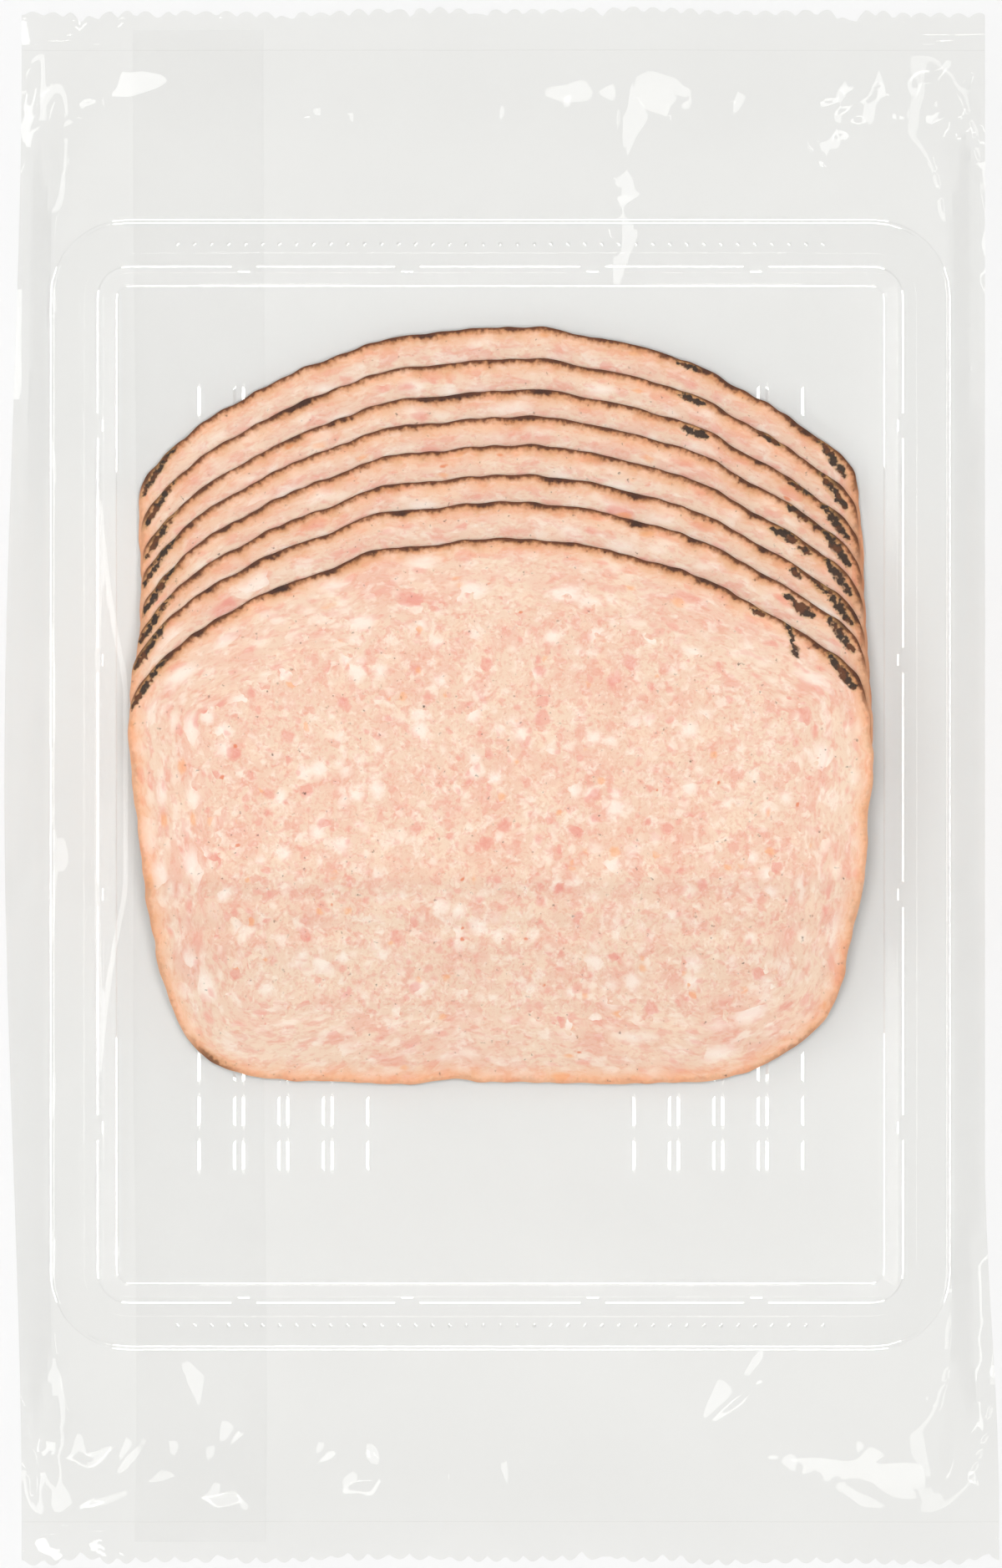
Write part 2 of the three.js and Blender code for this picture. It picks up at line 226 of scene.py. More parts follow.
# Burnt marks on the slices: from where to where, and how wide. Those on the shoulders run through the loaf.
SHOULDER_MARKS = [(49.2, 23.3, 52.8, 18.4, 1.15), (-55.0, 15.5, -50.5, 22.4, 0.8)]
SCORCH_MARKS = [
    [(27.0, 35.4, 30.5, 34.2, 0.7)],
    [(27.0, 35.5, 31.0, 33.9, 0.9), (39.5, 29.6, 43.0, 27.6, 0.6)],
    [(27.4, 35.2, 31.2, 33.7, 1.1), (44.0, 26.8, 47.5, 25.0, 0.7)],
    [(43.6, 27.2, 47.6, 25.0, 1.2)],
    [(40.8, 28.2, 44.6, 26.2, 1.2), (45.2, 25.2, 46.6, 24.4, 1.0)],
    [(43.6, 26.6, 45.0, 25.4, 1.0), (47.0, 25.0, 48.8, 23.2, 1.2)],
    [(42.6, 26.8, 43.8, 26.2, 0.9), (44.0, 25.4, 46.6, 23.8, 1.5)],
    [(42.6, 29.4, 43.6, 25.4, 0.75), (43.7, 24.8, 44.2, 23.2, 1.1), (37.5, 30.2, 39.5, 29.2, 0.8)],
]


def clamp(value, low=0.0, high=1.0):
    return max(low, min(high, value))


def smooth_step(low, high, value):
    share = clamp((value - low) / (high - low))
    return share * share * (3 - 2 * share)


def mix(a, b, share):
    return a + (b - a) * share


def deselect_all():
    bpy.ops.object.select_all(action="DESELECT")


def pick(piece, test):
    """Selects, in edit mode, only the faces that pass the test, which is given their middle in millimetres
    and their normal."""
    edit = bmesh.from_edit_mesh(piece.data)
    bpy.ops.mesh.select_all(action="DESELECT")
    for face in edit.faces:
        if test(face.calc_center_median() / MM, face.normal):
            face.select_set(True)
    edit.select_flush_mode()
    bmesh.update_edit_mesh(piece.data)


def apply_modifier(piece, kind, **settings):
    modifier = piece.modifiers.new(kind.title(), kind)
    for name, value in settings.items():
        setattr(modifier, name, value)
    bpy.ops.object.modifier_apply(modifier=modifier.name)


def finish_piece(piece, name, slot, material, smooth_angle=35):
    """Names a piece, gives it its finish and hides the frame's film pack. What is clear casts no shadow."""
    piece.name = piece.data.name = name
    bpy.context.view_layer.objects.active = piece
    deselect_all()
    piece.select_set(True)
    bpy.ops.object.transform_apply(location=True, rotation=True, scale=True)
    bpy.ops.object.shade_smooth_by_angle(angle=math.radians(smooth_angle))
    piece.data.materials.clear()
    piece.data.materials.append(material)
    piece.visible_shadow = not slot.startswith("clear")
    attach(piece, "root")
    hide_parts("film_pack")
    return piece


# ---------------------------------------------------------------- camera, light and table


def camera():
    bpy.ops.object.camera_add(location=(PHOTO_MIDDLE.x * MM, PHOTO_MIDDLE.y * MM, CAMERA_HEIGHT))
    seen_from_above = bpy.context.object
    seen_from_above.rotation_euler = (0, 0, 0)
    lens = seen_from_above.data
    lens.lens = lens.sensor_width * (CAMERA_HEIGHT - FOCUS_Z * MM) / (PHOTO_HEIGHT_MM * MM)
    lens.clip_end = 100
    bpy.context.scene.camera = seen_from_above


def long_box(name, turn, tilt, width, length, radiance, distance=LIGHT_DISTANCE, lights_up=True,
             mirrored=True):
    """A soft box that looks at the pack: how far round it stands in degrees, its tilt from straight up in
    radians, its size in metres, and whether it lights things up and is mirrored by what is glossy."""
    out, up = distance * math.sin(tilt), distance * math.cos(tilt)
    turn = math.radians(turn)
    bpy.ops.object.light_add(type="AREA", location=(out * math.cos(turn), out * math.sin(turn), up))
    box = bpy.context.object
    box.name = name
    box.data.shape = "RECTANGLE"
    box.data.size, box.data.size_y = width, length
    box.data.energy = radiance * math.pi * width * length
    box.rotation_euler = (0, tilt, turn)
    box.visible_camera = False
    box.visible_diffuse = lights_up
    box.visible_glossy = mirrored


def studio():
    scene = bpy.context.scene
    scene.view_settings.view_transform = "Standard"
    scene.cycles.transparent_max_bounces = 32
    scene.cycles.max_bounces = 4
    scene.cycles.diffuse_bounces = 2
    scene.cycles.glossy_bounces = 2
    world = bpy.data.worlds.new("Studio")
    scene.world = world
    world.use_nodes = True
    tree = world.node_tree
    tree.nodes.clear()
    direction = node(tree, "TexCoord").outputs["Generated"]
    height = node(tree, "SeparateXYZ", {"Vector": direction}).outputs["Z"]
    sky = ramp(tree, height, [(0.0, "d8d8d8"), (0.5, "dcdcdc"), (0.8, "f4f4f4"), (1.0, "ffffff")])
    background = node(tree, "Background", {"Color": sky, "Strength": 0.36})
    node(tree, "OutputWorld", {"Surface": background.outputs["Background"]})
    # The first two boxes light the pack and aren't mirrored. The others are there to be mirrored: the sheen
    # box by the film's folds, and the strips by the tray's chamfers.
    long_box("Soft_box_overhead", 0, 0, 0.5, 0.5, 45, mirrored=False)
    long_box("Soft_box_key", 180, KEY_TILT, 0.8, 4.4, 1.3, mirrored=False)
    long_box("Sheen_box", 180, KEY_TILT, 0.76, 6.4, 5.6, distance=LIGHT_DISTANCE - 0.1, lights_up=False)
    for name, turn, length in (("left", 180, 1.6), ("right", 0, 1.6), ("far", 90, 1.2), ("near", -90, 1.2)):
        long_box("Strip_" + name, turn, STRIP_TILT, 0.27, length, 8, lights_up=False)


def table_top():
    bpy.ops.mesh.primitive_plane_add(size=16, location=(0, 0, -0.05 * MM))
    table = bpy.context.object
    table.name = "Table_top"
    table.data.materials.append(matt_white_board())


# ---------------------------------------------------------------- materials


def linear(hex_colour):
    """An sRGB hex value as a linear colour."""
    channels = [int(hex_colour[i:i + 2], 16) / 255 for i in (0, 2, 4)]
    return (*(c / 12.92 if c <= 0.04045 else ((c + 0.055) / 1.055) ** 2.4 for c in channels), 1)


def node(tree, kind, links=None, **settings):
    """Adds a node. Each value in links is an output to join, or a value to set, by the input's name or
    number."""
    for prefix in ("ShaderNode", "ShaderNodeTex", "ShaderNodeBsdf"):
        if hasattr(bpy.types, prefix + kind):
            made = tree.nodes.new(prefix + kind)
            break
    for name, value in settings.items():
        setattr(made, name, value)
    for name, value in (links or {}).items():
        socket = made.inputs[name]
        if isinstance(value, bpy.types.NodeSocket):
            tree.links.new(value, socket)
        else:
            socket.default_value = value
    return made


def ramp(tree, share, stops):
    made = node(tree, "ValToRGB", {"Fac": share})
    points = made.color_ramp.elements
    while len(points) < len(stops):
        points.new(0.5)
    for point, (place, colour) in zip(points, stops):
        point.position = place
        point.color = linear(colour)
    return made.outputs["Color"]


def step(tree, value, low, high):
    """0 below low, 1 above high, smooth between. With low above high it falls instead."""
    made = node(tree, "MapRange", {"Value": value, "From Min": low, "From Max": high},
                interpolation_type="SMOOTHSTEP")
    return made.outputs["Result"]


def math_of(tree, operation, a, b=0.0):
    return node(tree, "Math", {0: a, 1: b}, operation=operation).outputs["Value"]


def blend(tree, share, a, b):
    made = node(tree, "Mix", {"Factor": share, 6: a, 7: b}, data_type="RGBA")
    return made.outputs[2]


def new_material(name):
    material = bpy.data.materials.new(name)
    material.use_nodes = True
    tree = material.node_tree
    tree.nodes.clear()
    return material, tree


def matt_white_board():
    """Painted board, rolled: a white that goes out to pure white under the lights."""
    material, tree = new_material("Painted_board_rolled_white")
    place = node(tree, "TexCoord").outputs["Object"]
    grain = node(tree, "Noise", {"Vector": place, "Scale": 1 / (40 * MM), "Detail": 2.0}).outputs["Fac"]
    colour = ramp(tree, grain, [(0.3, "e6e6e6"), (0.7, "e8e8e8")])
    skin = node(tree, "BsdfPrincipled", {"Base Color": colour, "Roughness": 0.9, "Specular IOR Level": 0.1})
    node(tree, "OutputMaterial", {"Surface": skin.outputs["BSDF"]})
    return material


def clear_sheet(name, mirror, edge_mirror, tint, edge_tint):
    """A thin clear plastic: each layer tints what lies behind it, more so the flatter it is looked at, and
    it mirrors more too. mirror and tint are those seen square on."""
    material, tree = new_material(name)
    facing = node(tree, "LayerWeight", {"Blend": 0.5}).outputs["Facing"]
    steep = math_of(tree, "POWER", facing, 5.0)
    share = node(tree, "MapRange", {"Value": steep, "To Min": mirror, "To Max": edge_mirror})
    seen_through = blend(tree, step(tree, facing, 0.15, 0.75), linear(tint), linear(edge_tint))
    clear = node(tree, "BsdfTransparent", {"Color": seen_through})
    gloss = node(tree, "BsdfAnisotropic", {"Color": (1, 1, 1, 1), "Roughness": 0.0})
    both = node(tree, "MixShader", {"Fac": share.outputs["Result"], 1: clear.outputs["BSDF"],
                                    2: gloss.outputs["BSDF"]})
    node(tree, "OutputMaterial", {"Surface": both.outputs["Shader"]})
    return material


def baked_meat():
    """Finely ground baked meat, cut across: pale fat flecks, pink lean bits and a few spice specks in a
    peach paste, all drawn out along the crust, which is browned and charred on the roof of the loaf."""
    material, tree = new_material("Ground_meat_baked_sliced")

    def attribute(name, output):
        return node(tree, "Attribute", attribute_name=name).outputs[output]

    loaf = attribute("loaf", "Vector")
    flow = attribute("flow", "Vector")
    rim = attribute("rim", "Fac")
    bake = attribute("bake", "Fac")
    scorch = attribute("scorch", "Fac")

    # Sizes below are in millimetres of the loaf, as its attributes are.
    def wobble(vector, size, amount):
        """The vector pushed about by noise of a given size, so that nothing keeps a round outline."""
        push = node(tree, "Noise", {"Vector": vector, "Scale": 1 / size, "Detail": 3.0}).outputs["Color"]
        centred = node(tree, "VectorMath", {0: push, 1: (0.5, 0.5, 0.5)}, operation="SUBTRACT").outputs[0]
        scaled = node(tree, "VectorMath", {0: centred, "Scale": amount}, operation="SCALE").outputs[0]
        return node(tree, "VectorMath", {0: vector, 1: scaled}, operation="ADD").outputs[0]

    def flecks(size, share, radius, softness, shift):
        """Loose soft-edged bits: one in each chosen cell of a Voronoi pattern with cells of a given size."""
        moved = node(tree, "VectorMath", {0: mince, 1: (shift, 2 * shift, 3 * shift)}, operation="ADD")
        cells = node(tree, "Voronoi", {"Vector": moved.outputs[0], "Scale": 1 / size})
        dice = node(tree, "SeparateColor", {"Color": cells.outputs["Color"]})
        reach = node(tree, "MapRange", {"Value": dice.outputs["Green"], "To Min": 0.45 * radius,
                                        "To Max": 1.3 * radius})
        inside = math_of(tree, "SUBTRACT", reach.outputs["Result"], cells.outputs["Distance"])
        body = step(tree, inside, -softness, softness)
        chosen = math_of(tree, "LESS_THAN", dice.outputs["Red"], share)
        return math_of(tree, "MULTIPLY", body, chosen)

    # The mince lies every way in the middle of a slice, and is drawn out along the crust near it.
    middle = wobble(loaf, 2.0, 1.6)
    along = wobble(flow, 1.4, 0.9)
    border = node(tree, "Noise", {"Vector": loaf, "Scale": 1 / 3.0, "Detail": 2.0}).outputs["Fac"]
    inset = math_of(tree, "ADD", rim, math_of(tree, "MULTIPLY", math_of(tree, "SUBTRACT", border, 0.5), 22))
    near_crust = math_of(tree, "LESS_THAN", inset, 11)
    mince = node(tree, "Mix", {"Factor": near_crust, 4: middle, 5: along}, data_type="VECTOR").outputs[1]

    def patches(size, low, high, shift):
        """Soft patches of a given size, where noise passes a threshold."""
        moved = node(tree, "VectorMath", {0: mince, 1: (shift, 2 * shift, 3 * shift)}, operation="ADD")
        cloudy = node(tree, "Noise", {"Vector": moved.outputs[0], "Scale": 1 / size, "Detail": 2.5,
                                      "Roughness": 0.55})
        return step(tree, cloudy.outputs["Fac"], low, high)

    cloud = node(tree, "Noise", {"Vector": loaf, "Scale": 1 / 11, "Detail": 2.0}).outputs["Fac"]
    colour = ramp(tree, cloud, [(0.3, "e8c1aa"), (0.5, "e9cab3"), (0.7, "ebd0b9")])

    layers = [
        # The mask, how strong it is, and its colour.
        (patches(4.2, 0.48, 0.68, 5), 0.40, "e6a898"),  # lean meat in broad soft clouds
        (patches(3.6, 0.50, 0.66, 11), 0.50, "f0d5bd"),  # fatty paste between them
        (patches(1.7, 0.52, 0.66, 23), 0.50, "e49c8c"),  # lean bits
        (patches(1.9, 0.53, 0.70, 37), 0.60, "f3e2d4"),  # fat
        (patches(0.8, 0.54, 0.66, 41), 0.34, "e39784"),  # lean crumbs
        (patches(0.9, 0.55, 0.70, 47), 0.34, "f7ebdf"),  # fat crumbs
        (patches(0.5, 0.50, 0.66, 53), 0.30, "dd9c80"),  # grain of the paste
    ]
    bits = [
        # size, share, radius, softness, shift, strength, colour
        (2.9, 0.34, 0.34, 0.26, 91, 0.72, "f8ede2"),  # soft white fat
        (1.7, 0.32, 0.34, 0.24, 97, 0.55, "f6e7d8"),  # and smaller bits of it
        (1.5, 0.24, 0.30, 0.16, 101, 0.50, "e6978a"),  # small pink bits
        (2.7, 0.16, 0.34, 0.12, 59, 0.50, "e2867a"),  # firm dark pink bits
        (2.1, 0.10, 0.24, 0.12, 67, 0.50, "f0a468"),  # paprika-coloured bits
        (2.4, 0.07, 0.11, 0.05, 73, 0.75, "dc7040"),  # red specks
        (2.9, 0.05, 0.05, 0.04, 83, 0.28, "8a5f45"),  # pepper specks
    ]
    for size, share, radius, softness, shift, strength, tone in bits:
        layers.append((flecks(size, share, radius, softness, shift), strength, tone))
    for mask, strength, tone in layers:
        colour = blend(tree, math_of(tree, "MULTIPLY", mask, strength), colour, linear(tone))

    def scaled(value, factor):
        return math_of(tree, "MULTIPLY", value, factor)

    # Crust: a warm orange that fades in over three millimetres, then olive tan under the roof's dark skin.
    ragged = node(tree, "Noise", {"Vector": loaf, "Scale": 1 / 0.8, "Detail": 4.0}).outputs["Fac"]
    soft_ragged = node(tree, "Noise", {"Vector": loaf, "Scale": 1 / 2.4, "Detail": 3.0}).outputs["Fac"]
    rough = math_of(tree, "SUBTRACT", ragged, 0.5)
    depth = math_of(tree, "ADD", rim, scaled(math_of(tree, "SUBTRACT", soft_ragged, 0.5), 2.0))
    colour = blend(tree, scaled(step(tree, depth, 3.4, -0.4), 0.68), colour, linear("f2a873"))
    around = node(tree, "CombineXYZ", {"Z": rim}).outputs["Vector"]
    around = node(tree, "VectorMath", {0: flow, 1: around}, operation="SUBTRACT").outputs[0]
    patchy = node(tree, "Noise", {"Vector": around, "Scale": 1 / 2.0, "Detail": 4.0}).outputs["Fac"]
    browned = math_of(tree, "MULTIPLY", bake, step(tree, patchy, 0.30, 0.62))
    tan = scaled(step(tree, depth, 2.3, 0.0), browned)
    colour = blend(tree, scaled(tan, 0.74), colour, linear("c58d5a"))

    # The skin itself is a thin brown line, ragged on its inner side, with burnt places smeared along it.
    burnt = step(tree, patchy, 0.48, 0.74)
    reach = math_of(tree, "ADD", 0.29, scaled(burnt, 0.50))
    reach = math_of(tree, "ADD", reach, scaled(rough, 1.3))
    inside_skin = math_of(tree, "SUBTRACT", reach, rim)
    fringe = math_of(tree, "MULTIPLY", step(tree, inside_skin, -0.9, -0.1), bake)
    colour = blend(tree, scaled(fringe, 0.6), colour, linear("a8642f"))
    skin_line = scaled(step(tree, inside_skin, -0.40, 0.12), bake)
    skin_colour = blend(tree, burnt, linear("63351a"), linear("371c10"))
    colour = blend(tree, skin_line, colour, skin_colour)

    # Scorched places, worked out where the slices are made: olive around them, and broken by a grain.
    olive = step(tree, scorch, 0.02, 0.5)
    colour = blend(tree, scaled(olive, 0.5), colour, linear("b58a55"))
    black = math_of(tree, "ADD", scorch, scaled(rough, 2.0))
    charred = blend(tree, step(tree, soft_ragged, 0.50, 0.62), linear("1e1411"), linear("54290f"))
    colour = blend(tree, scaled(step(tree, black, 0.30, 0.66), 0.95), colour, charred)

    # The cut face is moist: a fine uneven surface, glossier in some places than in others.
    wet = node(tree, "Noise", {"Vector": middle, "Scale": 1 / 1.1, "Detail": 4.0}).outputs["Fac"]
    bump = node(tree, "Bump", {"Height": wet, "Strength": 0.35, "Distance": 0.12 * MM}).outputs["Normal"]
    gloss = node(tree, "MapRange", {"Value": wet, "To Min": 0.42, "To Max": 0.62}).outputs["Result"]
    skin = node(tree, "BsdfPrincipled", {"Base Color": colour, "Roughness": gloss, "IOR": 1.4,
                                         "Normal": bump, "Specular IOR Level": 0.35})
    node(tree, "OutputMaterial", {"Surface": skin.outputs["BSDF"]})
    return material


# ---------------------------------------------------------------- slices


def smooth_loop(points, steps):
    """A smooth closed curve through the points, as steps evenly numbered places on it."""
    count = len(points)
    places = []
    for k in range(steps):
        whole, share = divmod(k * count / steps, 1)
        a, b, c, d = (Vector(points[(int(whole) + offset) % count]) for offset in (-1, 0, 1, 2))
        bend = 2 * b + (c - a) * share + (2 * a - 5 * b + 4 * c - d) * share ** 2
        places.append(0.5 * (bend + (3 * b - a - 3 * c + d) * share ** 3))
    return places


def even_loop(places, steps):
    """The same closed curve, cut into equal lengths."""
    lengths = [0.0]
    for a, b in zip(places, places[1:] + places[:1]):
        lengths.append(lengths[-1] + (b - a).length)
    even, k = [], 0
    for i in range(steps):
        wanted = lengths[-1] * i / steps
        while lengths[k + 1] < wanted:
            k += 1
        share = (wanted - lengths[k]) / (lengths[k + 1] - lengths[k])
        even.append(places[k].lerp(places[(k + 1) % len(places)], share))
    return even


def crust_wobble(place, index):
    """How far the crust stands out at a place on the outline: soft dents, the same along the loaf."""
    along_loaf = 0.12 * index * SLICE_THICKNESS
    soft = noise.noise(Vector((place.x / 9, place.y / 9, along_loaf / 3)))
    crisp = noise.noise(Vector((place.x / 2.6, place.y / 2.6, 5 + along_loaf)))
    return 0.55 * soft + 0.28 * crisp


def how_baked(place):
    """How dark the crust is at a place on the outline: 1 on the roof, less on the sides and the base."""
    roof = smooth_step(13, 19, place.y)
    lower_left = 0.8 * math.exp(-(place - Vector((-43, -37))).length_squared / 14)
    lower_right = 0.45 * math.exp(-(place - Vector((44, -35.5))).length_squared / 40)
    return max(roof, 0.16, lower_left, lower_right)


def scorched(place, index):
    """How burnt a place is: 1 in the middle of a mark, 0 outside it. The marks are spindles."""
    burnt = 0.0
    for from_x, from_y, to_x, to_y, width in (*SHOULDER_MARKS, *SCORCH_MARKS[index]):
        start, end = Vector((from_x, from_y)), Vector((to_x, to_y))
        along = clamp((place - start).dot(end - start) / (end - start).length_squared)
        away = (place - start.lerp(end, along)).length
        burnt = max(burnt, 1 - away / (width * math.sin(math.pi * (0.2 + 0.6 * along))))
    return burnt


def slice_height(index, x, y):
    """Height of the underside of a slice: the slices below hold it up, and past their edges it sinks."""
    height = STACK_Z
    for middle_x, middle_y, _ in SLICES[:index]:
        low_edge = middle_y - SLICE_HALF_Y
        height += SLICE_THICKNESS * smooth_step(low_edge - SLOPE_REACH, low_edge + 0.2, y)
    return height + 0.12 + 0.12 * noise.noise(Vector((x / 22, y / 22, 0.4)))


def meat_slice(index, material):
    middle_x, middle_y, width = SLICES[index]
    outline = even_loop(smooth_loop(SLICE_OUTLINE, CURVE_STEPS), 4 * SLICE_STEPS)
    outward = []
    for k, place in enumerate(outline):
        tangent = outline[(k + 1) % len(outline)] - outline[k - 1]
        normal = Vector((-tangent.y, tangent.x)).normalized()
        outward.append(place + normal * crust_wobble(place, index))
    tree = kdtree.KDTree(len(outward))
    for k, place in enumerate(outward):
        tree.insert((place.x, place.y, 0), k)
    tree.balance()

    deselect_all()
    bpy.ops.mesh.primitive_grid_add(x_subdivisions=SLICE_STEPS, y_subdivisions=SLICE_STEPS, size=2)
    piece = bpy.context.object
    mesh = piece.data
    loaf, flow, rim, bake, scorch = [], [], [], [], []
    for vertex in mesh.vertices:
        u, v = vertex.co.x, vertex.co.y
        reach = max(abs(u), abs(v))
        if reach < 1e-6:
            border = 0.0
        elif v >= abs(u) - 1e-9:
            border = 0.5 * (1 + u / reach)
        elif u >= abs(v) - 1e-9:
            border = 1 + 0.5 * (1 - v / reach)
        elif -v >= abs(u) - 1e-9:
            border = 2 + 0.5 * (1 - u / reach)
        else:
            border = 3 + 0.5 * (1 + v / reach)
        position = (border - 0.5) * SLICE_STEPS  # as the outline starts in the middle of the roof
        whole = math.floor(position)
        a, b = outward[whole % len(outward)], outward[(whole + 1) % len(outward)]
        edge = a.lerp(b, position - whole)
        place = edge * (reach * (1 + 0.5 * (1 - reach)))  # rows stand closer near the crust
        _, nearest, distance = tree.find((place.x, place.y, 0))
        turn = 2 * math.pi * position / len(outward)
        loaf += [place.x, place.y, index * SLICE_THICKNESS]
        flow += [FLOW_RADIUS * math.cos(turn), FLOW_RADIUS * math.sin(turn), distance + FLOW_SHIFT * index]
        rim.append(distance)
        bake.append(how_baked(outward[nearest]))
        scorch.append(scorched(place, index))
        vertex.co = (place.x, place.y, 0)
    for name, values in (("loaf", loaf), ("flow", flow)):
        mesh.attributes.new(name, "FLOAT_VECTOR", "POINT").data.foreach_set("vector", values)
    for name, values in (("rim", rim), ("bake", bake), ("scorch", scorch)):
        mesh.attributes.new(name, "FLOAT", "POINT").data.foreach_set("value", values)

    bpy.ops.object.mode_set(mode="EDIT")
    bpy.ops.mesh.select_all(action="SELECT")
    drop = -(SLICE_THICKNESS - SLICE_GAP) / SLICE_LAYERS
    for _ in range(SLICE_LAYERS):
        bpy.ops.mesh.extrude_region_move(TRANSFORM_OT_translate={"value": (0, 0, drop)})
    bpy.ops.mesh.select_all(action="SELECT")
    bpy.ops.mesh.normals_make_consistent(inside=False)
    bpy.ops.object.mode_set(mode="OBJECT")
    for vertex in mesh.vertices:
        x = vertex.co.x * width + middle_x
        y = vertex.co.y + middle_y
        z = vertex.co.z + SLICE_THICKNESS + slice_height(index, x, y)
        vertex.co = Vector((x, y, z)) * MM
    return finish_piece(piece, f"Meatloaf_slice_{index + 1}", "baked_meat", material, 60)


# ---------------------------------------------------------------- tray


def tray_section():
    """The tray from its outer edge inwards, as steps inwards and upwards. The polished chamfers all tilt
    alike, and the two faint ones beside them a little more."""
    def chamfer(inward, tilt=CHAMFER_TILT):
        return (inward, -inward * math.tan(tilt))

    faint = chamfer(FAINT_WIDTH, FAINT_TILT)
    bead_rise = BEAD_WIDTH * math.tan(CHAMFER_TILT)
    rim = [(BEAD_WIDTH, bead_rise), (BEAD_TOP_WIDTH, 0), chamfer(BEAD_WIDTH), (STEP_IN_RIM, 0), faint]
    rest_of_rim = (RIM_WIDTH - sum(inward for inward, _ in rim), 0)
    upper_wall = [chamfer(WALL_TOP_WIDTH), (0.6, -UPPER_WALL_SHARE * WALL_DROP), faint]
    lower_wall = [(1.66, -(1 - UPPER_WALL_SHARE) * WALL_DROP), chamfer(WALL_FOOT_WIDTH)]
    return [*rim, rest_of_rim, *upper_wall, *lower_wall]


def denest_lug(tray, axis, place, side):
    """Pushes a short stretch of the wall's top edge inwards, which keeps nested trays apart."""
    across = 1 - axis
    wall_top = RIM_HALF[across] - RIM_WIDTH

    def on_wall_top(middle, normal):
        off = side * (middle[across] - TRAY_MIDDLE[across])
        return wall_top - 3 < off < RIM_HALF[across] and abs(middle[axis]) < RIM_HALF[axis] - RIM_RADIUS

    plane = Vector((0, 0, 0))
    plane[axis] = 1
    for shift in (-LUG_HALF, -LUG_NOSE_HALF, LUG_NOSE_HALF, LUG_HALF):
        pick(tray, on_wall_top)
        bpy.ops.mesh.bisect(plane_co=plane * (place + shift) * MM, plane_no=plane)
    edit = bmesh.from_edit_mesh(tray.data)
    for corner in edit.verts:
        spot = corner.co / MM
        off = wall_top - side * (spot[across] - TRAY_MIDDLE[across])
        if abs(spot[axis] - place) < LUG_NOSE_HALF + 0.01 and -0.05 < off < 0.35:
            corner.co[across] -= side * LUG_DEPTH * MM
    bmesh.update_edit_mesh(tray.data)


def embossed_dots(side, name, material):
    """A row of small dots pressed into the rim, with flanks as steep as the tray's chamfers."""
    deselect_all()
    first_x = TRAY_MIDDLE.x - DOT_PITCH * (DOT_COUNT - 1) / 2
    first = (first_x, TRAY_MIDDLE.y + side * DOT_ROW_Y, RIM_Z + DOT_HEIGHT / 2)
    bpy.ops.mesh.primitive_cone_add(vertices=8, radius1=DOT_RADIUS * MM, depth=DOT_HEIGHT * MM,
                                    radius2=(DOT_RADIUS - DOT_HEIGHT / math.tan(CHAMFER_TILT)) * MM,
                                    location=[value * MM for value in first], rotation=(0, 0, math.pi / 8))
    dots = bpy.context.object
    bpy.ops.object.transform_apply(location=True, rotation=True, scale=True)
    apply_modifier(dots, "ARRAY", count=DOT_COUNT, use_relative_offset=False, use_constant_offset=True,
                   constant_offset_displace=(DOT_PITCH * MM, 0, 0))
    return finish_piece(dots, name, "clear_tray", material, 5)


